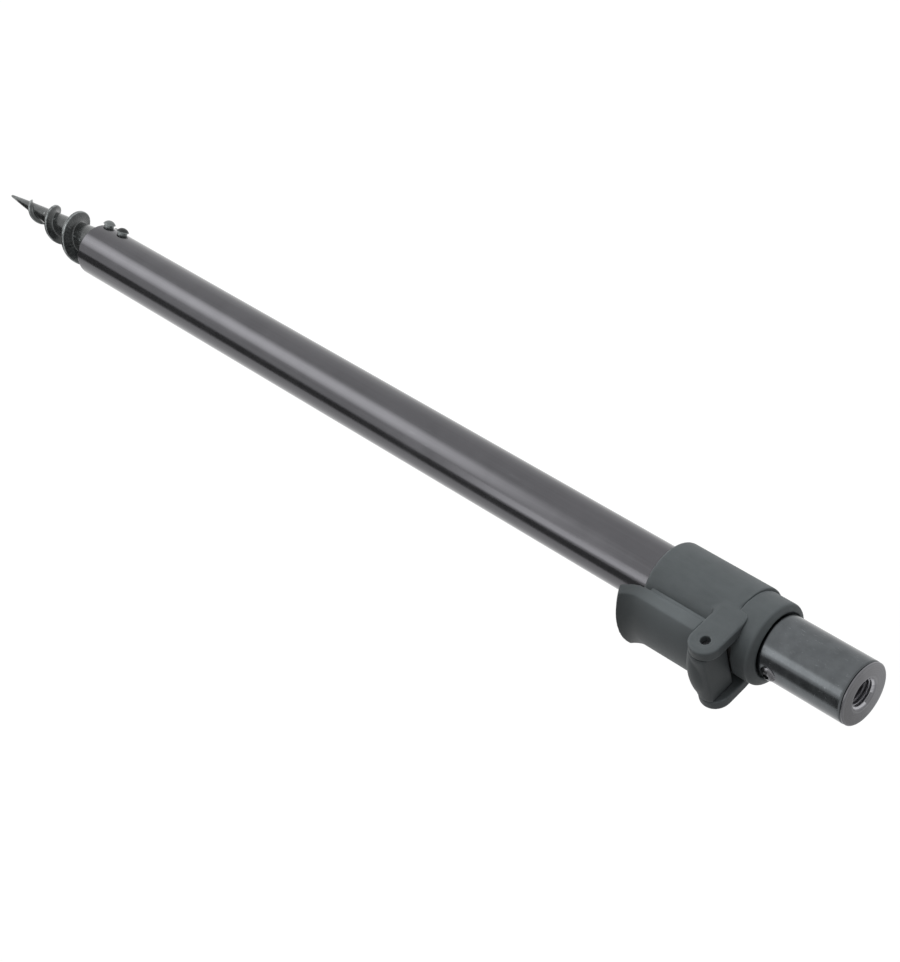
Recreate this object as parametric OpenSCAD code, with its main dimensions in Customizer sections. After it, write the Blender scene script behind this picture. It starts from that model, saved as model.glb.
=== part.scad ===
// Bank stick: ground tube with a steel auger point, a cam lock and a sliding upper section
// The frame is +Z along the stick, and the origin is on its axis at the ground tube's lower rim

/* [Tubes] */
// Outside diameter of the ground tube
outer_od = 19; // [18:0.5:20]
// Wall of the ground tube
outer_wall = 1; // [0.8:0.1:1.1]
// Length of the ground tube, whose upper end is inside the lock housing
outer_len = 300; // [200:5:600]
// Outside diameter of the sliding tube
inner_od = 16; // [15.8:0.1:16.2]
// Wall of the sliding tube
inner_wall = 1; // [0.8:0.1:1.2]

/* [Auger point] */
// How far the point reaches below the ground tube
auger_len = 57.3; // [50:0.1:70]
// Rise of the flight in one turn
flight_pitch = 14.8; // [14:0.1:16]
// Radius of the flight at its widest
flight_r = 10.1; // [9:0.1:10.5]
// Direction in which the flight crosses the phase height, seen from above
flight_phase = 180; // [0:1:359]
// How far the auger sits off the stick's axis, towards its rivets
auger_shift = 1.1; // [0:0.1:1.2]

/* [Lock housing] */
// Radius of the housing's round body
housing_r = 13; // [12.8:0.1:13.4]
// Length of ground tube that the housing grips
housing_grip = 22; // [18:1:30]
// Distance of the hinge pin from the stick's axis
pin_reach = 17; // [16.8:0.1:17.4]
// Height of the hinge pin above the ground tube's upper end
pin_rise = 7.4; // [7.2:0.1:7.7]
// Radius of the hinge pin
pin_r = 1.5; // [1.2:0.1:1.8]
// Radius of an ear's nose
ear_r = 4.95; // [4.6:0.05:5]
// Thickness of an ear
ear_t = 3.5; // [2.8:0.1:3.6]
// Clear width between the ears
ear_gap = 18.2; // [17.8:0.1:18.6]
// Radius of the nose ring in front of the housing
nose_r = 12.65; // [12.4:0.05:12.8]
// How far the nose ring is set towards the lever
nose_shift = 0.6; // [0:0.1:0.8]

/* [Cam lever] */
// Radius of the lever's barrel, which is the cam's high side
cam_r = 5.2; // [5:0.1:5.3]
// Distance from the pin to the cam's flat side
cam_flat = 2.8; // [2.4:0.1:3.2]
// Half the width of the paddle
paddle_half = 11.2; // [10:0.1:12]
// Radius of the paddle's outer face about the stick's axis
paddle_r = 19.1; // [18.8:0.1:19.4]
// Thickness of the paddle
paddle_t = 3; // [2.4:0.1:3.4]
// How far the lip flares out past the paddle's outer face
lip_flare = 1.9; // [1:0.1:2.5]

/* [Head] */
// Outside diameter of the head
head_od = 19.3; // [19:0.1:19.8]
// Length of the head in front of the lock
head_len = 28.7; // [22:0.1:40]
// Crest radius of the female thread
thread_r = 4.15; // [4.1:0.01:4.2]
// Depth of the female thread
thread_depth = 16; // [12:1:20]

/* [Hidden] */
$fn = 96;
small_fn = 48;
eps = 0.01;

outer_r = outer_od / 2;
outer_bore_r = outer_r - outer_wall;
inner_r = inner_od / 2;
inner_bore_r = inner_r - inner_wall;

// Heights along the stick
housing_z = outer_len - housing_grip;
pin_z = outer_len + pin_rise;
neck_top_z = outer_len + 4.8;
bush_seat_z = outer_len + 8.3;
bush_front_z = outer_len + 17.8;
head_z = bush_front_z - 0.8;
head_top_z = bush_front_z + head_len;
insert_flange = 0.9;
sleeve_top_z = head_top_z - insert_flange;

// Radii inside the lock
running = 0.05;
neck_r = inner_r + 0.1;
spigot_r = 10.4;
mouth_r = head_od / 2 + 0.35;
floor_reach = 11.4;

// Nose ring: height of its rounded front edge, and its radius and turn
nose_edge_z = bush_front_z - 1.9;
nose_edge_r = 1;
nose_edge_turn = 58;

// Ears and the slot between them
ear_in = ear_gap / 2;
ear_out = ear_in + ear_t;
ear_root = sqrt(max(1, pow(housing_r, 2) - pow(ear_out, 2)));
ear_edge = 0.8;
recess = 2.4;
boss_r = 2.8;
boss_depth = 0.2;
fairing_len = 3.2;
fairing_y = 9.5;

// Brake shoe and its pocket
shoe_half = 6;
shoe_z0 = outer_len + 3.4;
shoe_z1 = outer_len + 10.9;
shoe_in_r = inner_r + 0.3;
shoe_reach = floor_reach + 0.05;
shoe_play = 0.12;
shoe_back = 5;

// Lever
barrel_half = ear_in - 0.2;
shoulder_z = pin_z - ear_r - 0.55;
bead_r = 4;
bead_z = pin_z - 1.4;
cam_relief_r = cam_r + 0.3;
lip_z = housing_z - 2;
lip_start_z = lip_z + 5.2;
rib_half = 9.4;
rib_t = 1.4;
rib_foot_r = housing_r + 0.35;

// Auger core and flight
tip_r = 0.5;
tip_h = 0.4;
taper_z = -48;
taper_r = 1.5;
core_top_z = -1;
core_r = 5.9;
shank_r = 5;
plug_z0 = 0.3;
plug_z1 = 14.5;
shank_top_z = 13;
phase_z = -13.4;
flight_z0 = -48.3;
flight_z1 = -2.2;
flight_full_z = -6;
flight_start_r = 1.9;
flight_step = 10;

// Rivets and screws
rivet_head_r = 2.3;
rivet_head_h = 1.4;
rivet_body_r = 1.3;
rivet_neck_r = 1.8;
rivet_neck_h = 0.9;
rivet_zs = [2, 10.1];
rivet_turn = 131;
screw_z = bush_front_z + 3.6;
screw_head_r = 2.6;
screw_head_h = 1.1;
screw_body_r = 1.6;
screw_tail = 3;

// Guide bush at the sliding tube's lower end
collar_z0 = 15.6;
collar_z1 = 30;
collar_r = outer_bore_r - running;
groove_z0 = 20;
groove_z1 = 23.4;
groove_r = 7.2;
bush_rivet_z = 36;
housing_rivet_z = housing_z + 12;

// Solid of revolution between two radii and two heights, with round outer corners
module round_ring(r_in, r_out, z0, z1, low, high) {
    rotate_extrude()
        union() {
            translate([r_in, z0 + low]) square([r_out - r_in, z1 - z0 - low - high]);
            translate([r_in, z0]) square([r_out - r_in - low, low + eps]);
            translate([r_in, z1 - high - eps]) square([r_out - r_in - high, high + eps]);
            if (low > 0) corner(r_out - low, z0 + low, low);
            if (high > 0) corner(r_out - high, z1 - high, high);
        }
}

// Round corner of a profile
module corner(x, y, r) {
    translate([x, y]) circle(r, $fn = small_fn);
}

// Plain tube
module tube(r_out, r_in, z0, z1) {
    rotate_extrude() translate([r_in, z0]) square([r_out - r_in, z1 - z0]);
}

// Turns a shape drawn along +Z so that it lies along +X through the hinge pin
module at_pin() {
    translate([0, -pin_reach, pin_z]) rotate([0, 90, 0]) children();
}

// Places a shape drawn along +Z so that it points out from the axis, turn degrees round from -Y
module outward(z, turn) {
    translate([0, 0, z]) rotate([0, 0, -turn]) rotate([90, 0, 0]) children();
}

// Domed head whose foot is hollowed to sit on a round surface of the stick
module domed_head(seat_r, head_r, head_h) {
    dome_r = (head_r * head_r + head_h * head_h) / (2 * head_h);
    difference() {
        intersection() {
            translate([0, 0, seat_r - 1]) cylinder(r = head_r, h = head_h + 2, $fn = small_fn);
            translate([0, 0, seat_r + head_h - dome_r]) sphere(dome_r, $fn = small_fn);
        }
        rotate([90, 0, 0]) cylinder(r = seat_r, h = 4 * head_r, center = true);
    }
}

// Body of a rivet between two distances from the axis
module rivet_body(r0, r1) {
    translate([0, 0, r0]) cylinder(r = rivet_body_r, h = r1 - r0, $fn = small_fn);
}

// Snap head that stands on a short neck
module necked_head(seat_r) {
    dome_z = seat_r + rivet_neck_h + rivet_head_h;
    dome_r = (pow(rivet_head_r, 2) + pow(rivet_head_h, 2)) / (2 * rivet_head_h);
    union() {
        difference() {
            cylinder(r = rivet_neck_r, h = seat_r + rivet_neck_h, $fn = small_fn);
            rotate([90, 0, 0]) cylinder(r = seat_r, h = 6 * rivet_neck_r, center = true);
        }
        intersection() {
            translate([0, 0, seat_r + rivet_neck_h])
                cylinder(r = rivet_head_r, h = rivet_head_h + 1, $fn = small_fn);
            translate([0, 0, dome_z - dome_r]) sphere(dome_r, $fn = small_fn);
        }
    }
}

// Moves a shape from the stick's axis to the auger's
module at_auger() {
    rotate([0, 0, -rivet_turn]) translate([0, -auger_shift, 0]) rotate([0, 0, rivet_turn])
        children();
}

module outer_tube() {
    color("dimgray")
        difference() {
            tube(outer_r, outer_bore_r, 0, outer_len);
            for (z = rivet_zs)
                outward(z, rivet_turn)
                    cylinder(r = rivet_body_r, h = outer_r + 1, $fn = small_fn);
            outward(housing_rivet_z, 0)
                cylinder(r = rivet_body_r, h = outer_r + 1, $fn = small_fn);
        }
}

function flight_angle(z) = flight_phase + 360 * (z - phase_z) / flight_pitch;
function flight_height(a) = phase_z + flight_pitch * (a - flight_phase) / 360;
function grown(z) = min(1, (z - flight_z0) / (flight_full_z - flight_z0));
function rim_radius(z) = flight_start_r + (flight_r - flight_start_r) * pow(grown(z), 0.92);
function core_radius(z) = taper_r + (core_r - taper_r) * (z - taper_z) / (core_top_z - taper_z);
function root_half(z) = 0.7 + 0.7 * grown(z);
function rim_half(z) = 0.35 + 0.35 * grown(z);

// The flight's section at one direction: root below, rim below, rim above, root above
function flight_section(a) =
    let (z = flight_height(a), r0 = max(0.3, core_radius(z) - 0.5), r1 = rim_radius(z),
        u = [cos(a), sin(a)])
    [[u.x * r0, u.y * r0, z - root_half(z)], [u.x * r1, u.y * r1, z - rim_half(z)],
        [u.x * r1, u.y * r1, z + rim_half(z)], [u.x * r0, u.y * r0, z + root_half(z)]];

// Helical flight that widens from the point to the tube
module flight() {
    a0 = flight_angle(flight_z0);
    a1 = flight_angle(flight_z1);
    count = ceil((a1 - a0) / flight_step);
    points = [for (i = [0 : count]) each flight_section(a0 + (a1 - a0) * i / count)];
    sides = [for (i = [0 : count - 1], k = [0 : 3])
        let (p = 4 * i + k, q = 4 * i + (k + 1) % 4)
        each [[p, q, q + 4], [p, q + 4, p + 4]]];
    low_end = [[0, 2, 1], [0, 3, 2]];
    high_end = [for (f = low_end) [for (j = [2 : -1 : 0]) 4 * count + f[j]]];
    polyhedron(points, concat(sides, low_end, high_end));
}

module auger_point() {
    color("black")
        at_auger() {
            rotate_extrude()
                polygon([[0, -auger_len], [tip_r / 2, -auger_len], [tip_r, tip_h - auger_len],
                    [taper_r, taper_z], [core_r, core_top_z], [core_r, plug_z0],
                    [shank_r, plug_z0], [shank_r, shank_top_z], [0, shank_top_z]]);
            flight();
        }
}

// Plug in the ground tube, bored off its axis for the auger's shank
module auger_plug() {
    color("gray")
        difference() {
            translate([0, 0, plug_z0]) cylinder(r = outer_bore_r, h = plug_z1 - plug_z0);
            at_auger() cylinder(r = shank_r, h = plug_z1 + 1);
            for (z = rivet_zs)
                outward(z, rivet_turn)
                    cylinder(r = rivet_body_r, h = outer_r, $fn = small_fn);
        }
}

module plug_rivets() {
    color("black")
        for (z = rivet_zs)
            outward(z, rivet_turn) {
                rivet_body(shank_r + auger_shift + 0.3, outer_r);
                necked_head(outer_r);
            }
}

// One hinge ear with a round nose, on the +X side
module ear() {
    difference() {
        union() {
            at_pin() translate([0, 0, ear_in]) round_ring(0, ear_r, 0, ear_t, 0, ear_edge);
            translate([0, -ear_root, pin_z]) rotate([90, 0, 0])
                linear_extrude(pin_reach - ear_root) ear_flank();
            ear_fairing();
        }
        at_pin() cylinder(r = pin_r, h = 2 * ear_out, $fn = small_fn);
        at_pin() translate([0, 0, ear_out - boss_depth]) cylinder(r = boss_r, h = 1);
        nose_seat(nose_r + running);
    }
}

// Ramp that runs an ear's outer face down into the round body
module ear_fairing() {
    hull() {
        translate([ear_in, -fairing_y, pin_z - ear_r + ear_edge])
            cube([ear_t - 0.3, fairing_y - ear_root, 1]);
        translate([ear_in, -ear_root - 1, pin_z - ear_r - fairing_len]) cube([2, 1, 1]);
    }
}

// Round place of the nose ring, on its own axis
module nose_seat(r) {
    translate([0, -nose_shift, bush_seat_z]) cylinder(r = r, h = bush_front_z - bush_seat_z);
}

// Section of an ear below its nose
module ear_flank() {
    union() {
        translate([ear_in, -ear_r]) square([ear_t - ear_edge, 2 * ear_r]);
        translate([ear_in, ear_edge - ear_r]) square([ear_t, 2 * (ear_r - ear_edge)]);
        for (s = [-1, 1]) corner(ear_out - ear_edge, s * (ear_r - ear_edge), ear_edge);
    }
}

module lock_housing() {
    color("darkslategray")
        difference() {
            union() {
                round_ring(0, housing_r, housing_z, bush_seat_z, 0.9, 0.2);
                ear();
                mirror([1, 0, 0]) ear();
            }
            translate([0, 0, housing_z - 1]) cylinder(r = outer_r, h = housing_grip + 1);
            translate([0, 0, housing_z - 1]) cylinder(r = neck_r, h = 40);
            translate([0, 0, neck_top_z]) cylinder(r = spigot_r, h = 20);
            translate([-ear_in, -20, shoulder_z]) cube([ear_gap, 20 - floor_reach, 20]);
            translate([-shoe_half - shoe_play, -20, shoe_z0 - shoe_play])
                cube([2 * (shoe_half + shoe_play), 20 - shoe_back, 20]);
            outward(housing_rivet_z, 0)
                cylinder(r = rivet_body_r, h = 20, $fn = small_fn);
        }
}

module housing_rivet() {
    color("silver")
        outward(housing_rivet_z, 0) {
            rivet_body(outer_bore_r + 0.2, housing_r);
            domed_head(housing_r, rivet_head_r, rivet_head_h);
        }
}

// Front bush that closes the housing, guides the sliding tube and stops the brake shoe
module nose_bush() {
    color("darkslategray")
        difference() {
            union() {
                translate([0, -nose_shift, 0]) rotate_extrude() nose_profile();
                translate([0, 0, neck_top_z]) cylinder(r = spigot_r, h = 10 - eps);
            }
            translate([0, 0, neck_top_z - 1])
                cylinder(r = inner_r + running, h = 20);
            translate([0, 0, head_z - 0.3]) cylinder(r = mouth_r, h = 10);
            translate([0, 0, bush_front_z - 0.4])
                cylinder(r1 = mouth_r, r2 = mouth_r + 1, h = 1);
            translate([-shoe_half - shoe_play, -20, neck_top_z - 1])
                cube([2 * (shoe_half + shoe_play), 20, shoe_z1 + shoe_play - neck_top_z + 1]);
            at_pin() cylinder(r = cam_relief_r, h = ear_gap, center = true);
        }
}

// Half section of the nose ring: a plain side, a round edge and a sloping front
module nose_profile() {
    polygon(concat([[0, bush_seat_z], [nose_r, bush_seat_z]],
        arc(nose_r - nose_edge_r, nose_edge_z, nose_edge_r, 0, nose_edge_turn, 6),
        [[mouth_r + 0.3, bush_front_z], [0, bush_front_z]]));
}

module hinge_pin() {
    color("silver")
        at_pin() translate([0, 0, recess - ear_out])
            cylinder(r = pin_r, h = 2 * (ear_out - recess), $fn = small_fn);
}

// Points along an arc, in degrees
function arc(cx, cy, r, a0, a1, n) =
    [for (i = [0 : n]) let (a = a0 + (a1 - a0) * i / n) [cx + r * cos(a), cy + r * sin(a)]];

// Paddle's side profile: a plain wall that flares out into the lip
module paddle_profile(top_z) {
    flare_h = lip_start_z - lip_z;
    bend = 2 * atan(lip_flare / flare_h);
    bend_r = flare_h / sin(bend);
    polygon(concat(
        [[paddle_r, top_z]],
        arc(paddle_r + bend_r, lip_start_z, bend_r, 180, 180 + bend, 8),
        arc(paddle_r + bend_r, lip_start_z, bend_r + paddle_t, 180 + bend, 180, 8),
        [[paddle_r - paddle_t, top_z]]));
}

// Shell of the paddle, cut to a half width and a height
module paddle(half, top_z) {
    intersection() {
        rotate([0, 0, -140]) rotate_extrude(angle = 100) paddle_profile(top_z);
        translate([-half, -30, 0]) cube([2 * half, 30, top_z]);
    }
}

module lock_lever() {
    color("darkslategray")
        difference() {
            union() {
                paddle(paddle_half, shoulder_z);
                paddle(barrel_half, pin_z - 2);
                shoulder_bead();
                for (s = [-1, 1])
                    rib(s);
                intersection() {
                    at_pin() barrel();
                    translate([-20, -pin_reach - 10, pin_z - 10]) cube([40, 20, 10 + cam_flat]);
                }
            }
            at_pin() translate([0, 0, -20])
                cylinder(r = pin_r + running, h = 40, $fn = small_fn);
        }
}

// Crowned bead that thickens the paddle's top below the barrel
module shoulder_bead() {
    intersection() {
        rotate_extrude() translate([paddle_r, bead_z]) circle(bead_r);
        translate([-barrel_half, -30, 0]) cube([2 * barrel_half, 30, pin_z + cam_flat]);
    }
}

// Cam barrel with softly rounded ends
module barrel() {
    union() {
        round_ring(0, cam_r, -eps, barrel_half, 0, 0.6);
        mirror([0, 0, 1]) round_ring(0, cam_r, -eps, barrel_half, 0, 0.6);
    }
}

// Stiffening rib under the paddle
module rib(side) {
    intersection() {
        tube(paddle_r - 1, rib_foot_r, lip_start_z, shoulder_z);
        translate([side * (rib_half - rib_t / 2) - rib_t / 2, -30, 0])
            cube([rib_t, 30, shoulder_z]);
    }
}

module brake_shoe() {
    color("black")
        difference() {
            translate([-shoe_half, -shoe_reach, shoe_z0])
                cube([2 * shoe_half, shoe_reach - shoe_back, shoe_z1 - shoe_z0]);
            translate([0, 0, shoe_z0 - 1]) cylinder(r = shoe_in_r, h = 20);
        }
}

module guide_ring() {
    color("white")
        tube(outer_bore_r - 0.04, groove_r + running, groove_z0 + 0.1, groove_z1 - 0.1);
}

module inner_tube() {
    color("dimgray")
        difference() {
            tube(inner_r, inner_bore_r, collar_z1, sleeve_top_z);
            outward(bush_rivet_z, 180)
                cylinder(r = rivet_body_r, h = inner_r + 1, $fn = small_fn);
            outward(screw_z, 0)
                cylinder(r = screw_body_r, h = inner_r + 1, $fn = small_fn);
        }
}

module guide_bush() {
    color("gainsboro")
        difference() {
            rotate_extrude()
                polygon([[0, collar_z0], [collar_r - 0.6, collar_z0], [collar_r, collar_z0 + 0.6],
                    [collar_r, groove_z0], [groove_r, groove_z0], [groove_r, groove_z1],
                    [collar_r, groove_z1], [collar_r, collar_z1], [inner_bore_r, collar_z1],
                    [inner_bore_r, collar_z1 + 11], [inner_bore_r - 1, collar_z1 + 12],
                    [0, collar_z1 + 12]]);
            translate([0, 0, collar_z0 - 1]) cylinder(r = 3, h = 30, $fn = small_fn);
            outward(bush_rivet_z, 180)
                cylinder(r = rivet_body_r, h = 10, $fn = small_fn);
        }
}

// Flush pin through the sliding tube into the guide bush
module bush_rivet() {
    color("silver")
        outward(bush_rivet_z, 180)
            translate([0, 0, 3.2]) cylinder(r = rivet_body_r, h = inner_r - 3.3, $fn = small_fn);
}

module head_sleeve() {
    color("black")
        difference() {
            rotate_extrude()
                polygon([[inner_r, head_z], [head_od / 2 - 0.4, head_z],
                    [head_od / 2, head_z + 0.4], [head_od / 2, sleeve_top_z - 0.45],
                    [head_od / 2 - 0.45, sleeve_top_z], [inner_r, sleeve_top_z]]);
            outward(screw_z, 0) cylinder(r = screw_body_r, h = 20, $fn = small_fn);
        }
}

// Threaded insert: a long shank in the sliding tube under a thin round flange
module threaded_insert() {
    flange_r = head_od / 2 - 0.1;
    bore_z = head_top_z - thread_depth;
    color("gray")
        difference() {
            rotate_extrude()
                polygon([[0, head_z + 2], [inner_bore_r, head_z + 2], [inner_bore_r, sleeve_top_z],
                    [flange_r - 0.25, sleeve_top_z], [flange_r, sleeve_top_z + 0.25],
                    [flange_r, head_top_z - 0.3], [flange_r - 0.3, head_top_z], [0, head_top_z]]);
            translate([0, 0, bore_z]) cylinder(r = thread_r, h = thread_depth + 1);
            translate([0, 0, bore_z - 2]) cylinder(r1 = 0, r2 = thread_r, h = 2 + eps);
            translate([0, 0, head_top_z - 0.9])
                cylinder(r1 = thread_r, r2 = thread_r + 1, h = 0.91);
            outward(screw_z, 0)
                translate([0, 0, screw_tail]) cylinder(r = screw_body_r, h = 20, $fn = small_fn);
        }
}

// Screw that locks the head and its insert to the sliding tube
module head_screw() {
    seat_r = head_od / 2;
    color("black")
        outward(screw_z, 0)
            difference() {
                union() {
                    translate([0, 0, screw_tail]) cylinder(r = screw_body_r, h = seat_r - screw_tail,
                        $fn = small_fn);
                    domed_head(seat_r, screw_head_r, screw_head_h);
                }
                translate([0, 0, seat_r - 0.5]) cylinder(r = 1.1, h = 4, $fn = 6);
            }
}

outer_tube();
auger_point();
auger_plug();
plug_rivets();
lock_housing();
housing_rivet();
nose_bush();
hinge_pin();
lock_lever();
brake_shoe();
guide_ring();
inner_tube();
guide_bush();
bush_rivet();
head_sleeve();
threaded_insert();
head_screw();
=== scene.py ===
import math

import bpy
from mathutils import Matrix, Vector

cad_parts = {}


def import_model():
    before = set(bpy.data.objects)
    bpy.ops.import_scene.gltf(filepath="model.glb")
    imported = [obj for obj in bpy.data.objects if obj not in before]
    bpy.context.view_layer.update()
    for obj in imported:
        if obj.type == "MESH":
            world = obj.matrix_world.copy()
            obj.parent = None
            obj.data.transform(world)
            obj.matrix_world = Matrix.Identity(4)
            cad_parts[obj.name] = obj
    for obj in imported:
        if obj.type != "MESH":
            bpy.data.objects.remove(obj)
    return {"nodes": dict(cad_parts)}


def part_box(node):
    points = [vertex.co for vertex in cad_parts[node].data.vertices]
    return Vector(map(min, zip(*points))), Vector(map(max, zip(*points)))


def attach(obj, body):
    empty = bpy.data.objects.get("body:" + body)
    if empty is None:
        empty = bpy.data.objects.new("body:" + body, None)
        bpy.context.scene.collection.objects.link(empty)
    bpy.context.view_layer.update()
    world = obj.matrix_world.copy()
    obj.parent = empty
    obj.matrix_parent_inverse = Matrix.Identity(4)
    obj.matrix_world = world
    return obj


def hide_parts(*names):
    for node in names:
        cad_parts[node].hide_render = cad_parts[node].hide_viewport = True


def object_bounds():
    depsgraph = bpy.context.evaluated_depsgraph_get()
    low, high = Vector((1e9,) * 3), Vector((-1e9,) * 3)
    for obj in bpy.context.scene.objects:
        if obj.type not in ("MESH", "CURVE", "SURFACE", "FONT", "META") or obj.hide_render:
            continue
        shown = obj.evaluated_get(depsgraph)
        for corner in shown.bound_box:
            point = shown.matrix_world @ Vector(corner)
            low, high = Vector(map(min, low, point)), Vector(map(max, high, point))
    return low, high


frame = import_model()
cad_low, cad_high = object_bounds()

bl_info = {
    "name": "Bank Stick",
    "version": (1, 0, 0),
    "blender": (4, 5, 0),
    "location": "View3D > Sidebar > Bank Stick",
    "description": "Dresses a telescopic bank stick with an auger point and a cam lock",
    "category": "Add Mesh",
}

MM = 0.001
FULL_TURN = 2 * math.pi
EAR_ROOT_X = (9.8 * MM, 14 * MM)
EAR_ROOT_Y = (-10 * MM, 1 * MM)
EAR_ROOT_HALF_Z = 7 * MM
EAR_ROOT_PASSES = 60
NOSE_PASSES = 3
CASTING_PASSES = 4
THREAD_DEPTH = 16 * MM
THREAD_CLEARANCE = 0.15 * MM
CARD_LIFT = 0.5 * MM
CARD_FADE = 0.45
FLOOR_DROP = 0.3 * MM
FLOOR_LIT_SHARE = 0.06
WHITE_IN_VIEW = 1.07
WHITE_IN_GLOSS = 0.8
PLAIN_LIGHT = 0.2
FINISHES_MADE = {}


def node_span(node):
    """Lowest height, highest height and largest reach along X of a CAD node, in metres."""
    low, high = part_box(node)
    return low.z, high.z, high.x


TUBE_FOOT_Z, TUBE_TOP_Z, TUBE_R = node_span("outer_tube")
INNER_FOOT_Z, INNER_TOP_Z, INNER_R = node_span("inner_tube")
SLEEVE_Z, SLEEVE_TOP_Z, HEAD_R = node_span("head_sleeve")
HEAD_TOP_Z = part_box("threaded_insert")[1].z
PIN_CENTRE = (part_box("hinge_pin")[0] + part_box("hinge_pin")[1]) / 2


class StickSizes(bpy.types.PropertyGroup):
    """Sizes of the details that the CAD frame leaves to the dressing."""

    tube_wall: bpy.props.FloatProperty(
        name="Tube wall", description="Wall of both tubes", default=1.0 * MM, unit="LENGTH")
    rim_round: bpy.props.FloatProperty(
        name="Rim rounding", description="Rounding of the tubes' cut ends",
        default=0.3 * MM, unit="LENGTH")
    thread_pitch: bpy.props.FloatProperty(
        name="Thread pitch", description="Rise of the head's thread in one turn",
        default=1.27 * MM, unit="LENGTH")
    thread_root: bpy.props.FloatProperty(
        name="Thread root radius", description="Radius at the bottom of the thread's grooves",
        default=4.78 * MM, unit="LENGTH")
    thread_crest: bpy.props.FloatProperty(
        name="Thread crest radius", description="Radius at the thread's crests",
        default=4.15 * MM, unit="LENGTH")
    moulding_voxel: bpy.props.FloatProperty(
        name="Moulding mesh", description="Mesh size that the moulded pieces are remade at",
        default=0.3 * MM, unit="LENGTH")
    moulding_smooth: bpy.props.IntProperty(
        name="Moulding rounds", description="Smoothing passes that round a moulding's edges",
        default=7, min=1, max=30)
    casting_voxel: bpy.props.FloatProperty(
        name="Auger mesh", description="Mesh size that the auger is remade at",
        default=0.22 * MM, unit="LENGTH")
    segments: bpy.props.IntProperty(
        name="Segments", description="Faces round a turned piece", default=128, min=32, max=256)


class StickFinishes(bpy.types.PropertyGroup):
    """Colours of the stick's finishes."""

    tube: bpy.props.FloatVectorProperty(
        name="Tube", description="Satin black anodising", subtype="COLOR",
        default=(0.104, 0.103, 0.11))
    head: bpy.props.FloatVectorProperty(
        name="Head", description="Bright black anodising", subtype="COLOR",
        default=(0.11, 0.118, 0.124))
    face: bpy.props.FloatVectorProperty(
        name="Turned face", description="Anodised turned face", subtype="COLOR",
        default=(0.15, 0.15, 0.158))
    steel: bpy.props.FloatVectorProperty(
        name="Auger", description="Black paint of the auger", subtype="COLOR",
        default=(0.065, 0.07, 0.07))
    moulding: bpy.props.FloatVectorProperty(
        name="Moulding", description="Black nylon of the cam lock", subtype="COLOR",
        default=(0.078, 0.088, 0.092))
    shoe: bpy.props.FloatVectorProperty(
        name="Brake shoe", description="Black shoe under the cam", subtype="COLOR",
        default=(0.03, 0.03, 0.03))
    bush: bpy.props.FloatVectorProperty(
        name="Bush", description="Natural acetal", subtype="COLOR", default=(0.7, 0.69, 0.65))
    bare: bpy.props.FloatVectorProperty(
        name="Bare metal", description="Uncoated steel and aluminium", subtype="COLOR",
        default=(0.5, 0.5, 0.51))


def sizes():
    """The size settings of the open scene."""
    return bpy.context.scene.stick_sizes


def finishes():
    """The colour settings of the open scene."""
    return bpy.context.scene.stick_finishes


def deselect_all():
    """Leaves object mode with nothing selected."""
    if bpy.context.object and bpy.context.object.mode != "OBJECT":
        bpy.ops.object.mode_set(mode="OBJECT")
    bpy.ops.object.select_all(action="DESELECT")


def make_active(piece):
    """Selects one piece alone."""
    deselect_all()
    piece.select_set(True)
    bpy.context.view_layer.objects.active = piece


def apply_modifier(piece, kind, **settings):
    """Adds a modifier, sets it and applies it."""
    make_active(piece)
    modifier = piece.modifiers.new(kind.title(), kind)
    for name, value in settings.items():
        setattr(modifier, name, value)
    bpy.ops.object.modifier_apply(modifier=modifier.name)


def round_edges(piece, width, segments=3, angle=35):
    """Rounds the edges of a turned piece that are sharper than an angle in degrees."""
    apply_modifier(piece, "BEVEL", width=width, segments=segments, limit_method="ANGLE",
                   angle_limit=math.radians(angle), use_clamp_overlap=True)


def shade_smooth(piece, angle=40):
    """Shades a piece smoothly, with its edges over an angle in degrees left sharp."""
    make_active(piece)
    bpy.ops.object.shade_smooth_by_angle(angle=math.radians(angle))


def draw_profile(points):
    """Starts a mesh as a chain of edges through points of (radius, height), in edit mode."""
    deselect_all()
    bpy.ops.mesh.primitive_plane_add(size=MM, location=(0, 0, 0))
    bpy.ops.object.mode_set(mode="EDIT")
    bpy.ops.mesh.merge(type="CENTER")
    last = Vector((0, 0, 0))
    for number, (radius, height) in enumerate(points):
        step = Vector((radius, 0, height)) - last
        if number == 0:
            bpy.ops.transform.translate(value=step)
        else:
            bpy.ops.mesh.extrude_region_move(TRANSFORM_OT_translate={"value": step})
        last += step


def supported(points, margin=0.6 * MM):
    """The same profile with a point near both ends of each long stretch, so that it shades straight."""
    result = []
    for first, second in zip(points, points[1:]):
        first, second = Vector(first), Vector(second)
        result.append(first)
        if (second - first).length > 3 * margin:
            step = (second - first).normalized() * margin
            result += [first + step, second - step]
    return result + [Vector(points[-1])]


def turn(name, points, closed=True, segments=None):
    """Turns a profile of (radius, height) points into a solid about the stick's axis."""
    draw_profile(supported(points + points[:1] if closed else points))
    bpy.ops.mesh.select_all(action="SELECT")
    bpy.ops.mesh.remove_doubles(threshold=1e-7)
    bpy.ops.mesh.spin(steps=segments or sizes().segments, angle=FULL_TURN,
                      center=(0, 0, 0), axis=(0, 0, 1))
    bpy.ops.mesh.select_all(action="SELECT")
    bpy.ops.mesh.remove_doubles(threshold=2e-6)
    bpy.ops.mesh.normals_make_consistent(inside=False)
    bpy.ops.object.mode_set(mode="OBJECT")
    piece = bpy.context.object
    piece.name = name
    piece.data.name = name
    return piece


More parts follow.
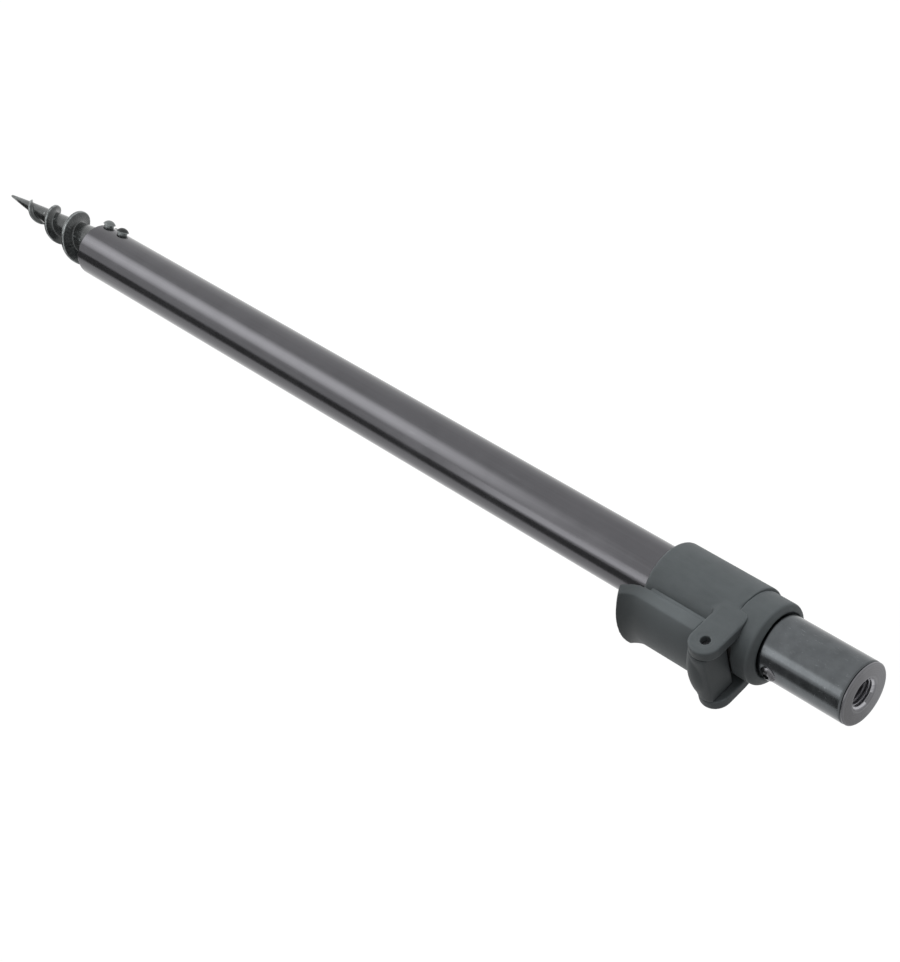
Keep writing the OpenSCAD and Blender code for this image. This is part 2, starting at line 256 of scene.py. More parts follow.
def copy_of_node(name, node):
    """A copy of a CAD node's mesh, with its loose triangles joined."""
    piece = bpy.data.objects.new(name, frame["nodes"][node].data.copy())
    bpy.context.collection.objects.link(piece)
    piece.data.materials.clear()
    make_active(piece)
    bpy.ops.mesh.customdata_custom_splitnormals_clear()
    bpy.ops.object.mode_set(mode="EDIT")
    bpy.ops.mesh.select_all(action="SELECT")
    bpy.ops.mesh.remove_doubles(threshold=2e-6)
    bpy.ops.object.mode_set(mode="OBJECT")
    return piece


def cut(piece, cutter, operation="DIFFERENCE"):
    """Cuts one piece with another, or joins them, and deletes the second."""
    apply_modifier(piece, "BOOLEAN", operation=operation, solver="EXACT", object=cutter)
    bpy.data.objects.remove(cutter, do_unlink=True)


def fit(piece, body, slot, finish, *nodes):
    """Gives a finished piece its material and body, and the CAD nodes that it stands for."""
    piece.data.materials.clear()
    piece.data.materials.append(finish)
    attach(piece, body)
    if nodes:
        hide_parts(*nodes)


def paint_node(node, finish):
    """Gives a CAD node that stays as it is its material."""
    shown = frame["nodes"][node]
    shown.data.materials.clear()
    shown.data.materials.append(finish)


class Finish:
    """A material under construction, with short calls for the nodes that it is built from."""

    def __init__(self, name):
        self.material = bpy.data.materials.new(name)
        self.material.use_nodes = True
        self.nodes = self.material.node_tree.nodes
        self.links = self.material.node_tree.links
        self.shader = self.nodes["Principled BSDF"]
        self.place = self.nodes.new("ShaderNodeTexCoord").outputs["Object"]

    def link(self, source, target):
        """Links an output to a socket of the shader or of another node."""
        self.links.new(source, self.shader.inputs[target] if isinstance(target, str) else target)

    def stretched(self, scale):
        """Object coordinates, scaled apart along the three axes."""
        mapping = self.nodes.new("ShaderNodeMapping")
        mapping.inputs["Scale"].default_value = scale
        self.links.new(self.place, mapping.inputs["Vector"])
        return mapping.outputs["Vector"]

    def noise(self, scale, detail=3.0, roughness=0.55, place=None):
        """Noise of a given scale, in cells a metre unless a stretched place is given."""
        texture = self.nodes.new("ShaderNodeTexNoise")
        texture.inputs["Scale"].default_value = scale
        texture.inputs["Detail"].default_value = detail
        texture.inputs["Roughness"].default_value = roughness
        self.links.new(place or self.place, texture.inputs["Vector"])
        return texture.outputs["Fac"]

    def ranged(self, source, low, high, out_low=0.0, out_high=1.0, smooth=False):
        """A value moved from one range to another, held at its ends."""
        remap = self.nodes.new("ShaderNodeMapRange")
        remap.interpolation_type = "SMOOTHSTEP" if smooth else "LINEAR"
        self.links.new(source, remap.inputs["Value"])
        for socket, value in (("From Min", low), ("From Max", high),
                              ("To Min", out_low), ("To Max", out_high)):
            remap.inputs[socket].default_value = value
        return remap.outputs["Result"]

    def sum(self, first, second, operation="ADD"):
        """Two values, or a value and a number, put together."""
        maths = self.nodes.new("ShaderNodeMath")
        maths.operation = operation
        for socket, value in zip(maths.inputs, (first, second)):
            if isinstance(value, (int, float)):
                socket.default_value = value
            else:
                self.links.new(value, socket)
        return maths.outputs["Value"]

    def blend(self, factor, first, second):
        """A colour between two others."""
        mix = self.nodes.new("ShaderNodeMix")
        mix.data_type = "RGBA"
        self.links.new(factor, mix.inputs["Factor"])
        for socket, value in ((mix.inputs["A"], first), (mix.inputs["B"], second)):
            if isinstance(value, bpy.types.NodeSocket):
                self.links.new(value, socket)
            else:
                socket.default_value = (*value, 1.0)
        return mix.outputs["Result"]

    def bump(self, height, strength, distance):
        """Raises the surface by a height, at a distance in metres."""
        node = self.nodes.new("ShaderNodeBump")
        node.inputs["Strength"].default_value = strength
        node.inputs["Distance"].default_value = distance
        self.links.new(height, node.inputs["Height"])
        self.link(node.outputs["Normal"], "Normal")

    def radius(self):
        """Distance from the stick's axis, in metres."""
        flat = self.nodes.new("ShaderNodeVectorMath")
        flat.operation = "MULTIPLY"
        flat.inputs[1].default_value = (1, 1, 0)
        self.links.new(self.place, flat.inputs[0])
        length = self.nodes.new("ShaderNodeVectorMath")
        length.operation = "LENGTH"
        self.links.new(flat.outputs["Vector"], length.inputs[0])
        return length.outputs["Value"]

    def along(self, axis="Z"):
        """Object coordinate along an axis, in metres."""
        split = self.nodes.new("ShaderNodeSeparateXYZ")
        self.links.new(self.place, split.inputs["Vector"])
        return split.outputs[axis]

    def edges(self, low, high):
        """Where the mesh is raised to an edge, from 0 to 1."""
        pointiness = self.nodes.new("ShaderNodeNewGeometry").outputs["Pointiness"]
        return self.ranged(pointiness, low, high)


def brighter(colour, factor):
    """A colour with its channels multiplied, at most 1."""
    return tuple(min(1.0, channel * factor) for channel in colour)


def satin_anodised():
    """Drawn tube: fine lines along it, faint mottling and a few rubbed marks."""
    finish = Finish("tube_anodising")
    colour = tuple(finishes().tube)
    lines = finish.noise(1.0, 2.0, 0.6, finish.stretched((2600, 2600, 22)))
    mottle = finish.noise(90.0, 4.0)
    rubs = finish.noise(1.0, 5.0, 0.7, finish.stretched((900, 900, 70)))
    rub_mask = finish.ranged(rubs, 0.66, 0.74)
    base = finish.blend(finish.ranged(mottle, 0.3, 0.7), brighter(colour, 0.93),
                        brighter(colour, 1.08))
    base = finish.blend(finish.ranged(lines, 0.35, 0.65, 0.0, 0.35), base,
                        brighter(colour, 1.25))
    base = finish.blend(finish.ranged(rub_mask, 0.0, 1.0, 0.0, 0.25), base,
                        brighter(colour, 2.0))
    finish.link(base, "Base Color")
    finish.shader.inputs["Metallic"].default_value = 1.0
    finish.link(finish.sum(finish.ranged(mottle, 0.3, 0.7, 0.15, 0.2),
                           finish.ranged(lines, 0.3, 0.7, -0.02, 0.03)), "Roughness")
    finish.bump(lines, 0.12, 0.02 * MM)
    return finish.material


def gloss_anodised():
    """Turned head: faint rings from the lathe, with handling scuffs and small chips."""
    finish = Finish("head_anodising")
    colour = tuple(finishes().head)
    rings = finish.noise(1.0, 2.0, 0.6, finish.stretched((40, 40, 5200)))
    mottle = finish.noise(260.0, 4.0)
    scuffs = finish.ranged(finish.noise(1.0, 6.0, 0.7, finish.stretched((1500, 1500, 420))),
                           0.58, 0.7)
    chips = finish.ranged(finish.noise(1900.0, 3.0, 0.6), 0.7, 0.74)
    base = finish.blend(finish.ranged(mottle, 0.3, 0.7), brighter(colour, 0.86),
                        brighter(colour, 1.14))
    base = finish.blend(finish.sum(scuffs, 0.4, "MULTIPLY"), base, brighter(colour, 1.9))
    base = finish.blend(finish.sum(chips, 0.5, "MULTIPLY"), base, brighter(colour, 3.0))
    finish.link(base, "Base Color")
    finish.shader.inputs["Metallic"].default_value = 1.0
    rough = finish.sum(finish.ranged(mottle, 0.3, 0.7, 0.17, 0.23),
                       finish.ranged(rings, 0.3, 0.7, -0.02, 0.02))
    finish.link(finish.sum(rough, finish.sum(scuffs, 0.08, "MULTIPLY")), "Roughness")
    finish.bump(rings, 0.1, 0.02 * MM)
    return finish.material


def turned_black():
    """End face: rings round the axis, painted light on the side away from the lever and painted
    shade on the lever's side, and painted glints on the thread's crests."""
    finish = Finish("turned_face")
    colour = tuple(finishes().face)
    rings = finish.nodes.new("ShaderNodeTexNoise")
    rings.noise_dimensions = "1D"
    rings.inputs["Scale"].default_value = 9000.0
    rings.inputs["Detail"].default_value = 2.0
    finish.links.new(finish.radius(), rings.inputs["W"])
    grooves = rings.outputs["Fac"]
    mottle = finish.noise(700.0, 3.0)
    base = finish.blend(finish.ranged(mottle, 0.3, 0.7), brighter(colour, 0.9),
                        brighter(colour, 1.1))
    # Painted light and shade across the face: darker towards the lever's side (-Y), lighter on the far
    # side.
    painted_side_light = finish.ranged(finish.along("Y"), -HEAD_R, HEAD_R, smooth=True)
    base = finish.blend(finish.ranged(painted_side_light, 0.0, 0.55, 0.55, 0.0), base, brighter(colour, 0.4))
    base = finish.blend(finish.ranged(painted_side_light, 0.5, 1.0, 0.0, 0.6), base, brighter(colour, 1.6))
    # Painted glints: edges on the thread's crests are painted much lighter, less so beyond the thread.
    thread_glint_mask = finish.ranged(finish.radius(), 4.6 * MM, 4.9 * MM, 1.0, 0.12)
    base = finish.blend(finish.sum(finish.edges(0.515, 0.56), thread_glint_mask, "MULTIPLY"), base,
                        brighter(colour, 3.5))
    finish.link(base, "Base Color")
    finish.shader.inputs["Metallic"].default_value = 1.0
    finish.link(finish.ranged(grooves, 0.3, 0.7, 0.26, 0.36), "Roughness")
    finish.bump(grooves, 0.2, 0.02 * MM)
    return finish.material


def blackened_steel():
    """Painted auger: thick glossy paint over a rough casting, with painted highlights on its rims."""
    finish = Finish("auger_paint")
    colour = tuple(finishes().steel)
    paint = finish.noise(420.0, 5.0, 0.6)
    orange = finish.noise(1500.0, 3.0)
    base = finish.blend(finish.ranged(paint, 0.35, 0.65), brighter(colour, 0.8),
                        brighter(colour, 1.4))
    # Painted highlight: the rims' edges are painted much lighter, in patches set by the paint noise.
    painted_light_mask = finish.sum(finish.edges(0.505, 0.535), finish.ranged(paint, 0.3, 0.55), "MULTIPLY")
    base = finish.blend(painted_light_mask, base, brighter(colour, 5.0))
    finish.link(base, "Base Color")
    finish.shader.inputs["Metallic"].default_value = 0.7
    finish.shader.inputs["Coat Weight"].default_value = 0.4
    finish.shader.inputs["Coat Roughness"].default_value = 0.12
    finish.link(finish.ranged(paint, 0.3, 0.7, 0.2, 0.34), "Roughness")
    finish.bump(finish.sum(paint, finish.sum(orange, 0.3, "MULTIPLY")), 0.4, 0.15 * MM)
    return finish.material


def lock_moulding(name="lock_nylon", lit_band_z=None):
    """Spark-grained black nylon with painted highlights along its edges; given a height, painted
    shade towards the low end, painted light on a band at that height and a slightly darker mix above.
    """
    finish = Finish(name)
    colour = tuple(finishes().moulding)
    grain = finish.noise(4200.0, 2.0, 0.5)
    cloud = finish.noise(150.0, 4.0)
    flow = finish.noise(1.0, 4.0, 0.6, finish.stretched((520, 520, 130)))
    base = finish.blend(finish.ranged(cloud, 0.3, 0.7), brighter(colour, 0.9),
                        brighter(colour, 1.1))
    base = finish.blend(finish.ranged(flow, 0.4, 0.7, 0.0, 0.4), base, brighter(colour, 1.25))
    base = finish.blend(finish.ranged(grain, 0.4, 0.7, 0.0, 0.3), base, brighter(colour, 1.3))
    # Painted highlight: the edges are painted lighter.
    base = finish.blend(finish.sum(finish.edges(0.508, 0.55), 0.6, "MULTIPLY"), base,
                        brighter(colour, 1.9))
    # Painted light and shade along the paddle: painted shade at its low end (the lip), painted light on
    # a band at the given height, a slightly darker mix above it.
    if lit_band_z is not None:
        below = finish.ranged(finish.along(), lit_band_z - 16 * MM, lit_band_z, smooth=True)
        above = finish.ranged(finish.along(), lit_band_z + 4 * MM, lit_band_z + 20 * MM, 1.0, 0.45,
                              smooth=True)
        base = finish.blend(finish.sum(below, above, "MULTIPLY"), brighter(colour, 0.62),
                            finish.blend(finish.ranged(cloud, 0.2, 0.8, 0.7, 1.0), base,
                                         brighter(colour, 1.5)))
    finish.link(base, "Base Color")
    finish.shader.inputs["Specular IOR Level"].default_value = 0.32
    finish.link(finish.ranged(grain, 0.3, 0.7, 0.48, 0.62), "Roughness")
    finish.bump(grain, 0.25, 0.05 * MM)
    return finish.material


def rivet_black():
    """Coated rivets: dark caps, painted light on their necks, and painted light over the lower rivet.
    """
    finish = Finish("rivet_coating")
    colour = tuple(finishes().steel)
    marks = finish.noise(1300.0, 3.0)
    base = finish.blend(finish.ranged(marks, 0.35, 0.65), brighter(colour, 0.5),
                        brighter(colour, 0.9))
    # Painted light: the lower rivet, below 8 mm in height, is painted lighter all over.
    painted_light_mask = finish.ranged(finish.along(), 4 * MM, 8 * MM, 0.75, 0.0)
    base = finish.blend(painted_light_mask, base, brighter(colour, 3.5))
    # Painted reflection: the necks, nearer the tube than the caps, are painted much lighter.
    base = finish.blend(finish.ranged(finish.radius(), TUBE_R + 1.1 * MM, TUBE_R + 1.3 * MM),
                        brighter(colour, 3.5), base)
    finish.link(base, "Base Color")
    finish.shader.inputs["Metallic"].default_value = 0.8
    finish.link(finish.ranged(marks, 0.3, 0.7, 0.28, 0.4), "Roughness")
    finish.bump(marks, 0.12, 0.03 * MM)
    return finish.material


def screw_black():
    """Black oxide screw, brighter than the tube round it, with painted glints on its edges."""
    finish = Finish("black_oxide")
    colour = brighter(tuple(finishes().face), 0.9)
    marks = finish.noise(1800.0, 4.0)
    base = finish.blend(finish.ranged(marks, 0.35, 0.65), brighter(colour, 0.7),
                        brighter(colour, 1.1))
    # Painted glints: the edges are painted lighter.
    base = finish.blend(finish.edges(0.52, 0.6), base, brighter(colour, 2.2))
    finish.link(base, "Base Color")
    finish.shader.inputs["Metallic"].default_value = 1.0
    finish.link(finish.ranged(marks, 0.3, 0.7, 0.18, 0.32), "Roughness")
    finish.bump(marks, 0.15, 0.03 * MM)
    return finish.material


def bare_metal(name, lines_scale):
    """Uncoated metal with lines along or across it."""
    finish = Finish(name)
    colour = tuple(finishes().bare)
    lines = finish.noise(1.0, 2.0, 0.6, finish.stretched(lines_scale))
    base = finish.blend(finish.ranged(lines, 0.3, 0.7), brighter(colour, 0.8),
                        brighter(colour, 1.1))
    finish.link(base, "Base Color")
    finish.shader.inputs["Metallic"].default_value = 1.0
    finish.link(finish.ranged(lines, 0.3, 0.7, 0.25, 0.42), "Roughness")
    finish.bump(lines, 0.15, 0.02 * MM)
    return finish.material


def bush_moulding():
    """Natural acetal, waxy, with a faint moulded haze."""
    finish = Finish("bush_acetal")
    colour = tuple(finishes().bush)
    haze = finish.noise(300.0, 4.0)
    base = finish.blend(finish.ranged(haze, 0.3, 0.7), brighter(colour, 0.94), colour)
    finish.link(base, "Base Color")
    finish.shader.inputs["Subsurface Weight"].default_value = 0.1
    finish.shader.inputs["Subsurface Radius"].default_value = (MM, MM, MM)
    finish.shader.inputs["Subsurface Scale"].default_value = 0.5
    finish.link(finish.ranged(haze, 0.3, 0.7, 0.35, 0.45), "Roughness")
    finish.bump(haze, 0.1, 0.05 * MM)
    return finish.material


def shoe_moulding():
    """Dull black brake shoe with polished high spots."""
    finish = Finish("shoe_rubber")
    colour = tuple(finishes().shoe)
    wear = finish.noise(500.0, 4.0)
    base = finish.blend(finish.ranged(wear, 0.35, 0.65), colour, brighter(colour, 1.8))
    finish.link(base, "Base Color")
    finish.link(finish.ranged(wear, 0.3, 0.7, 0.6, 0.8), "Roughness")
    finish.bump(finish.noise(3500.0, 2.0), 0.25, 0.05 * MM)
    return finish.material


def shared(maker, *arguments):
    """A finish that several pieces use, made the first time that it is asked for."""
    key = (maker.__name__, *arguments)
    if key not in FINISHES_MADE:
        FINISHES_MADE[key] = maker(*arguments)
    return FINISHES_MADE[key]


def tube_piece(name, outer_r, low, high):
    """A plain tube with rounded rims."""
    bore_r = outer_r - sizes().tube_wall
    piece = turn(name, [(bore_r, low), (outer_r, low), (outer_r, high), (bore_r, high)])
    round_edges(piece, sizes().rim_round)
    shade_smooth(piece)
    return piece


class STICK_OT_ground_tube(bpy.types.Operator):
    """Makes the ground tube"""

    bl_idname = "stick.ground_tube"
    bl_label = "Ground Tube"

    def execute(self, context):
        piece = tube_piece("ground_tube", TUBE_R, TUBE_FOOT_Z, TUBE_TOP_Z)
        fit(piece, "ground_section", "satin_anodised", shared(satin_anodised), "outer_tube")
        return {"FINISHED"}


def remade(name, node, voxel, passes):
    """A CAD node's shape with soft edges, as a moulding or a casting has."""
    piece = copy_of_node(name, node)
    apply_modifier(piece, "REMESH", mode="VOXEL", voxel_size=voxel)
    apply_modifier(piece, "SMOOTH", factor=0.5, iterations=passes)
    make_active(piece)
    bpy.ops.object.shade_smooth()
    return piece


def melt(piece, low, high, passes):
    """Smooths what lies in a box, so that it runs into what is beside it."""
    group = piece.vertex_groups.new(name="melt")
    middle, half = (low + high) / 2, (high - low) / 2
    for vertex in piece.data.vertices:
        away = max(abs(vertex.co[axis] - middle[axis]) / half[axis] for axis in range(3))
        if away < 1:
            group.add([vertex.index], min(1.0, 2 * (1 - away)), "REPLACE")
    apply_modifier(piece, "SMOOTH", factor=0.5, iterations=passes, vertex_group="melt")
    piece.vertex_groups.clear()


class STICK_OT_auger(bpy.types.Operator):
    """Makes the auger point, its plug and its rivets"""

    bl_idname = "stick.auger"
    bl_label = "Auger Point"

    def execute(self, context):
        point = remade("auger", "auger_point", sizes().casting_voxel, CASTING_PASSES)
        fit(point, "ground_section", "blackened_steel", shared(blackened_steel), "auger_point")
        paint_node("auger_plug", shared(bare_metal, "turned_aluminium", (60, 60, 4000)))
        rivets = copy_of_node("rivets", "plug_rivets")
        shade_smooth(rivets)
        fit(rivets, "ground_section", "rivet_black", shared(rivet_black), "plug_rivets")
        return {"FINISHED"}


class STICK_OT_lock_housing(bpy.types.Operator):
    """Makes the lock's housing, its nose bush, hinge pin and rivet"""

    bl_idname = "stick.lock_housing"
    bl_label = "Lock Housing"

    def execute(self, context):
        moulding = shared(lock_moulding)
        housing = remade("lock_collar", "lock_housing", sizes().moulding_voxel,
                         sizes().moulding_smooth)
        for side in (-1, 1):
            roots = sorted(side * reach for reach in EAR_ROOT_X)
            low = Vector((roots[0], EAR_ROOT_Y[0], PIN_CENTRE.z - EAR_ROOT_HALF_Z))
            high = Vector((roots[1], EAR_ROOT_Y[1], PIN_CENTRE.z + EAR_ROOT_HALF_Z))
            melt(housing, low, high, EAR_ROOT_PASSES)
        fit(housing, "ground_section", "lock_moulding", moulding, "lock_housing")
        bush = remade("lock_nose", "nose_bush", sizes().moulding_voxel, NOSE_PASSES)
        fit(bush, "ground_section", "lock_moulding", moulding, "nose_bush")
        paint_node("hinge_pin", shared(screw_black))
        paint_node("housing_rivet", shared(bare_metal, "drawn_steel", (4000, 60, 60)))
        return {"FINISHED"}


class STICK_OT_lock_lever(bpy.types.Operator):
    """Makes the cam lever and its brake shoe"""

    bl_idname = "stick.lock_lever"
    bl_label = "Cam Lever"

    def execute(self, context):
        lever = remade("cam_handle", "lock_lever", sizes().moulding_voxel,
                       sizes().moulding_smooth)
        # Height of the paddle's band of painted light, with painted shade below it at the lip.
        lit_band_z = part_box("lock_lever")[0].z + 16 * MM
        fit(lever, "cam_lever", "lock_moulding", shared(lock_moulding, "lever_nylon", lit_band_z),
            "lock_lever")
        paint_node("brake_shoe", shared(shoe_moulding))
        return {"FINISHED"}


class STICK_OT_upper_tube(bpy.types.Operator):
    """Makes the sliding tube, its guide bush and ring"""

    bl_idname = "stick.upper_tube"
    bl_label = "Sliding Tube"

    def execute(self, context):
        piece = tube_piece("sliding_tube", INNER_R, INNER_FOOT_Z, INNER_TOP_Z)
        fit(piece, "upper_section", "satin_anodised", shared(satin_anodised), "inner_tube")
        bush = shared(bush_moulding)
        for node in ("guide_bush", "guide_ring"):
            paint_node(node, bush)
        paint_node("bush_rivet", shared(bare_metal, "drawn_steel", (4000, 60, 60)))
        return {"FINISHED"}


def thread_cutter(low, high):
    """A rod with the thread's outside form, between two heights.

    Its core is a little thinner than the bore, so that no face of the two lies on another.
    """
    root, pitch = sizes().thread_root, sizes().thread_pitch
    flat = pitch / 8
    start = low - 2 * pitch
    core = sizes().thread_crest - THREAD_CLEARANCE
    draw_profile([(core, start), (core, start + flat), (root, start + pitch / 2),
                  (root, start + pitch / 2 + flat), (core, start + pitch)])
    bpy.ops.object.mode_set(mode="OBJECT")
    rod = bpy.context.object
    turns = math.ceil((high - start) / pitch) + 2
    apply_modifier(rod, "SCREW", angle=FULL_TURN, screw_offset=pitch, iterations=turns,
                   steps=64, render_steps=64, use_merge_vertices=True, merge_threshold=1e-6)
    bpy.ops.object.mode_set(mode="EDIT")
    bpy.ops.mesh.select_all(action="SELECT")
    bpy.ops.mesh.remove_doubles(threshold=1e-6)
    for height, clear_lower in ((low, True), (high, False)):
        bpy.ops.mesh.select_all(action="SELECT")
        bpy.ops.mesh.bisect(plane_co=(0, 0, height), plane_no=(0, 0, 1), use_fill=True,
                            threshold=1e-8, clear_inner=clear_lower,
                            clear_outer=not clear_lower)
    bpy.ops.mesh.select_all(action="SELECT")
    bpy.ops.mesh.normals_make_consistent(inside=False)
    bpy.ops.object.mode_set(mode="OBJECT")
    return rod


class STICK_OT_head(bpy.types.Operator):
    """Makes the head's sleeve, its threaded insert and its screw"""

    bl_idname = "stick.head"
    bl_label = "Head"

    def execute(self, context):
        chamfer, edge = 0.4 * MM, 0.15 * MM
        sleeve = turn("head_tube", [
            (INNER_R, SLEEVE_Z), (HEAD_R - chamfer, SLEEVE_Z), (HEAD_R, SLEEVE_Z + chamfer),
            (HEAD_R, SLEEVE_TOP_Z - chamfer), (HEAD_R - chamfer, SLEEVE_TOP_Z),
            (INNER_R, SLEEVE_TOP_Z)])
        round_edges(sleeve, edge)
        shade_smooth(sleeve, 50)
        fit(sleeve, "upper_section", "gloss_anodised", shared(gloss_anodised), "head_sleeve")
        insert = self.insert()
        fit(insert, "upper_section", "turned_black", shared(turned_black), "threaded_insert")
        screw = copy_of_node("locking_screw", "head_screw")
        shade_smooth(screw)
        fit(screw, "upper_section", "screw_black", shared(screw_black), "head_screw")
        return {"FINISHED"}

    def insert(self):
        """The insert: a shank and a thin flange, bored, countersunk and threaded."""
        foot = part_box("threaded_insert")[0].z
        shank_r = INNER_R - sizes().tube_wall
        flange_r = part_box("threaded_insert")[1].x
        chamfer = 0.3 * MM
        bore_r = sizes().thread_crest
        bore_floor = HEAD_TOP_Z - THREAD_DEPTH
        drill_point = 2 * MM
        mouth_r, mouth_slope, mouth_depth = 5.15 * MM, 0.9 * MM, 0.95 * MM
        piece = turn("head_insert", [
            (0, foot), (shank_r, foot), (shank_r, SLEEVE_TOP_Z),
            (flange_r - chamfer, SLEEVE_TOP_Z), (flange_r, SLEEVE_TOP_Z + chamfer),
            (flange_r, HEAD_TOP_Z - chamfer), (flange_r - chamfer, HEAD_TOP_Z),
            (mouth_r, HEAD_TOP_Z), (mouth_r - mouth_slope, HEAD_TOP_Z - mouth_slope),
            (bore_r, HEAD_TOP_Z - mouth_depth), (bore_r, bore_floor),
            (0, bore_floor - drill_point)], closed=False)
        cut(piece, thread_cutter(bore_floor + MM, HEAD_TOP_Z + MM))
        shade_smooth(piece, 30)
        return piece


def camera():
    """The camera at the photograph's place."""
    right = Vector((0.2125, 0.6947, 0.6872))
    down = Vector((0.6786, -0.6109, 0.4077))
    forward = Vector((0.7030, 0.3797, -0.6013))
    place = Vector((-453.8, -253.4, 582.8)) * MM
    data = bpy.data.cameras.new("camera")
    data.lens = 78.52
    data.sensor_width = 36
    data.clip_start = 0.01
    data.clip_end = 100
    holder = bpy.data.objects.new("camera", data)
    bpy.context.collection.objects.link(holder)
    turned = Matrix((right, -down, -forward)).transposed()
    holder.matrix_world = Matrix.Translation(place) @ turned.to_4x4()
    bpy.context.scene.camera = holder


def seen_white(material, lit_share):
    """Makes a surface white to the camera, to gloss and to glass, with a share of real light."""
    nodes, links = material.node_tree.nodes, material.node_tree.links
    path = nodes.new("ShaderNodeLightPath")
    seen = nodes.new("ShaderNodeMath")
    seen.operation = "MAXIMUM"
    links.new(path.outputs["Is Camera Ray"], seen.inputs[0])
    links.new(path.outputs["Is Glossy Ray"], seen.inputs[1])
    also = nodes.new("ShaderNodeMath")
    also.operation = "MAXIMUM"
    links.new(seen.outputs["Value"], also.inputs[0])
    links.new(path.outputs["Is Transmission Ray"], also.inputs[1])
    share = nodes.new("ShaderNodeMath")
    share.operation = "MULTIPLY"
    share.inputs[1].default_value = 1 - lit_share
    links.new(also.outputs["Value"], share.inputs[0])
    glow = nodes.new("ShaderNodeEmission")
    glow.inputs["Strength"].default_value = WHITE_IN_VIEW
    mix = nodes.new("ShaderNodeMixShader")
    links.new(share.outputs["Value"], mix.inputs["Fac"])
    links.new(nodes["Principled BSDF"].outputs["BSDF"], mix.inputs[1])
    links.new(glow.outputs["Emission"], mix.inputs[2])
    links.new(mix.outputs["Shader"], nodes["Material Output"].inputs["Surface"])


def floor():
    """A pale floor under the auger's tip."""
    deselect_all()
    bpy.ops.mesh.primitive_circle_add(vertices=96, radius=6, fill_type="NGON",
                                      location=(0, 0, cad_low.z - FLOOR_DROP))
    piece = bpy.context.object
    piece.name = "floor"
    material = bpy.data.materials.new("floor")
    material.use_nodes = True
    shader = material.node_tree.nodes["Principled BSDF"]
    shader.inputs["Base Color"].default_value = (0.86, 0.86, 0.86, 1)
    shader.inputs["Roughness"].default_value = 0.9
    seen_white(material, FLOOR_LIT_SHARE)
    piece.data.materials.append(material)


def world():
    """Plain white surroundings: white in view, a little less in gloss, and soft as light."""
    scenery = bpy.data.worlds.new("studio")
    bpy.context.scene.world = scenery
    scenery.use_nodes = True
    nodes, links = scenery.node_tree.nodes, scenery.node_tree.links
    plain = nodes["Background"]
    plain.inputs["Color"].default_value = (1, 1, 1, 1)
    plain.inputs["Strength"].default_value = PLAIN_LIGHT
    white = nodes.new("ShaderNodeBackground")
    white.inputs["Color"].default_value = (1, 1, 1, 1)
    path = nodes.new("ShaderNodeLightPath")
    seen = path.outputs["Is Camera Ray"]
    level = nodes.new("ShaderNodeMapRange")
    level.inputs["To Min"].default_value = WHITE_IN_GLOSS
    level.inputs["To Max"].default_value = WHITE_IN_VIEW
    links.new(seen, level.inputs["Value"])
    links.new(level.outputs["Result"], white.inputs["Strength"])
    for name in ("Is Glossy Ray", "Is Transmission Ray"):
        either = nodes.new("ShaderNodeMath")
        either.operation = "MAXIMUM"
        links.new(seen, either.inputs[0])
        links.new(path.outputs[name], either.inputs[1])
        seen = either.outputs["Value"]
    mix = nodes.new("ShaderNodeMixShader")
    links.new(seen, mix.inputs["Fac"])
    links.new(plain.outputs["Background"], mix.inputs[1])
    links.new(white.outputs["Background"], mix.inputs[2])
    links.new(mix.outputs["Shader"], nodes["World Output"].inputs["Surface"])


def around(azimuth, reach, height):
    """A point at an azimuth in degrees, a reach and a height about the stick, in metres."""
    turned = math.radians(azimuth)
    return Vector((reach * math.cos(turned), reach * math.sin(turned), height))


def softbox(name, azimuth, reach, height, size, watts, aim):
    """A square soft lamp that faces a point of the stick."""
    data = bpy.data.lights.new(name, "AREA")
    data.shape = "SQUARE"
    data.size = size
    data.energy = watts
    lamp = bpy.data.objects.new(name, data)
    bpy.context.collection.objects.link(lamp)
    lamp.location = around(azimuth, reach, height)
    lamp.rotation_euler = (aim - lamp.location).to_track_quat("-Z", "Y").to_euler()
    lamp.visible_camera = False
    lamp.visible_glossy = False


def card(name, reach, near, far, strength, soft=False):
    """A card on the floor round the stick that shows only in its gloss.

    It lies between two reaches in mm, and between two azimuths in degrees at its near end
    and two at its far end. A soft card fades into the white floor at its sides and its far end.
    """
    deselect_all()
    bpy.ops.mesh.primitive_grid_add(x_subdivisions=8, y_subdivisions=16, size=1)
    piece = bpy.context.object
    piece.name = name
    for vertex in piece.data.vertices:
        across, along = vertex.co.x + 0.5, vertex.co.y + 0.5
        sides = [start + (end - start) * along for start, end in zip(near, far)]
        place = reach[0] + (reach[1] - reach[0]) * along
        vertex.co = around(sides[0] + (sides[1] - sides[0]) * across, place * MM,
                           cad_low.z + CARD_LIFT)
    finish = Finish(name)
    glow = finish.nodes.new("ShaderNodeEmission")
    glow.inputs["Strength"].default_value = strength
    if soft:
        split = finish.nodes.new("ShaderNodeSeparateXYZ")
        finish.links.new(finish.nodes["Texture Coordinate"].outputs["UV"], split.inputs["Vector"])
        across, along = split.outputs["X"], split.outputs["Y"]
        hump = finish.sum(across, finish.sum(1.0, across, "SUBTRACT"), "MULTIPLY")
        fade = finish.ranged(along, CARD_FADE, 1.0, 4.0 * (strength - 1.0), 0.0, smooth=True)
        finish.links.new(finish.sum(finish.sum(hump, fade, "MULTIPLY"), 1.0),
                         glow.inputs["Strength"])
    finish.links.new(glow.outputs["Emission"], finish.nodes["Material Output"].inputs["Surface"])
    piece.data.materials.append(finish.material)
    for ray in ("camera", "diffuse", "shadow", "transmission", "volume_scatter"):
        setattr(piece, "visible_" + ray, False)


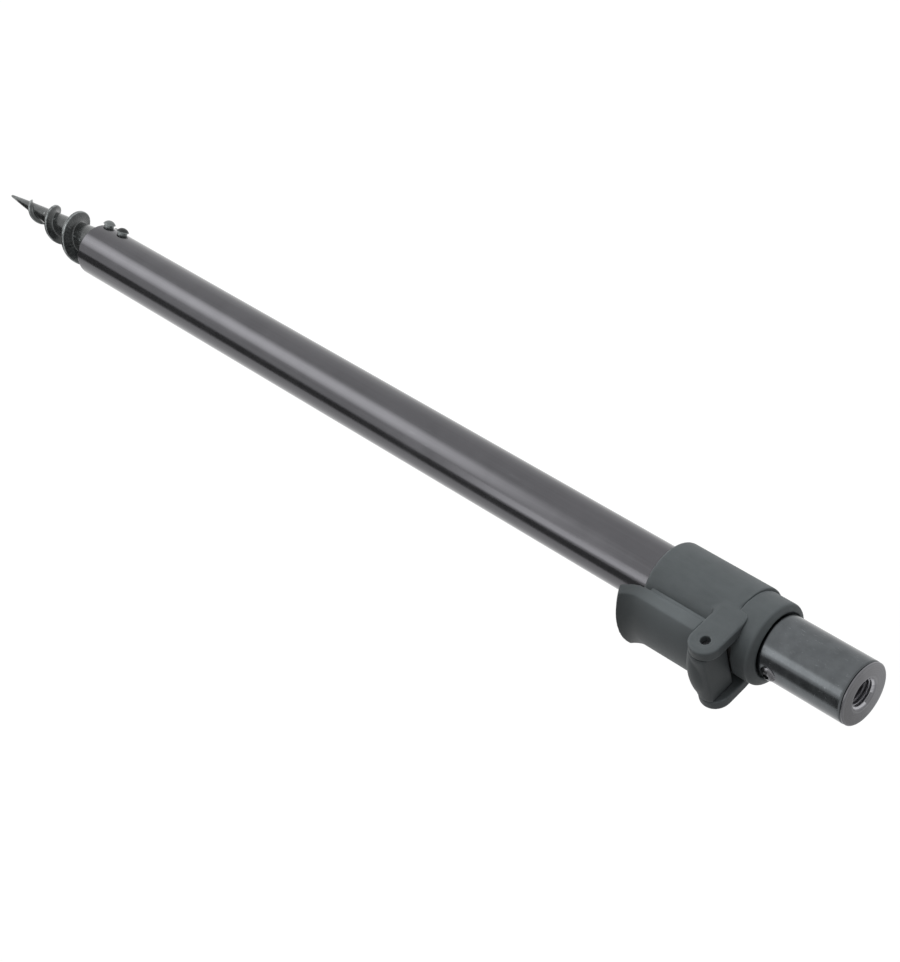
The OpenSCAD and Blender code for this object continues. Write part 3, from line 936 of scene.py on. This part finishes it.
class STICK_OT_stage(bpy.types.Operator):
    """Makes the floor, the surroundings, the lamps and the camera"""

    bl_idname = "stick.stage"
    bl_label = "Stage"

    def execute(self, context):
        context.scene.view_settings.view_transform = "Standard"
        camera()
        floor()
        world()
        middle = Vector((0, 0, (TUBE_FOOT_Z + TUBE_TOP_Z) / 2))
        softbox("lamp_key", azimuth=165, reach=1.1, height=0.12, size=0.8, watts=12.0, aim=middle)
        softbox("lamp_camera", azimuth=200, reach=1.1, height=0.9, size=0.8, watts=1.2, aim=middle)
        card("reflector_broad", reach=(46, 540), near=(172, 224), far=(190, 246), strength=3.0,
             soft=True)
        card("reflector_narrow", reach=(370, 920), near=(238, 264), far=(230, 252), strength=2.5)
        card("dark_foot", reach=(3, 46), near=(215, 330), far=(245, 300), strength=0.05)
        card("dark_near", reach=(46, 416), near=(253, 284), far=(269, 296), strength=0.17)
        card("dark_far", reach=(416, 1400), near=(269, 296), far=(259, 309), strength=0.17)
        return {"FINISHED"}


class STICK_PT_panel(bpy.types.Panel):
    """Lists the stick's pieces and settings in the sidebar"""

    bl_idname = "STICK_PT_panel"
    bl_label = "Bank Stick"
    bl_space_type = "VIEW_3D"
    bl_region_type = "UI"
    bl_category = "Bank Stick"

    def draw(self, context):
        column = self.layout.column(align=True)
        for operator in OPERATORS:
            column.operator(operator.bl_idname)
        for settings in (context.scene.stick_sizes, context.scene.stick_finishes):
            box = self.layout.box()
            for name in settings.__annotations__:
                box.prop(settings, name)


OPERATORS = (
    STICK_OT_ground_tube,
    STICK_OT_auger,
    STICK_OT_lock_housing,
    STICK_OT_lock_lever,
    STICK_OT_upper_tube,
    STICK_OT_head,
    STICK_OT_stage,
)
CLASSES = (StickSizes, StickFinishes, *OPERATORS, STICK_PT_panel)


def register():
    """Adds the classes and the scene's settings."""
    for item in CLASSES:
        bpy.utils.register_class(item)
    bpy.types.Scene.stick_sizes = bpy.props.PointerProperty(type=StickSizes)
    bpy.types.Scene.stick_finishes = bpy.props.PointerProperty(type=StickFinishes)


def unregister():
    """Takes the scene's settings and the classes away."""
    del bpy.types.Scene.stick_finishes
    del bpy.types.Scene.stick_sizes
    for item in reversed(CLASSES):
        bpy.utils.unregister_class(item)


def main():
    """Registers the add-on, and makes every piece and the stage."""
    register()
    for operator in OPERATORS:
        group, name = operator.bl_idname.split(".")
        getattr(getattr(bpy.ops, group), name)()


if __name__ == "__main__":
    main()
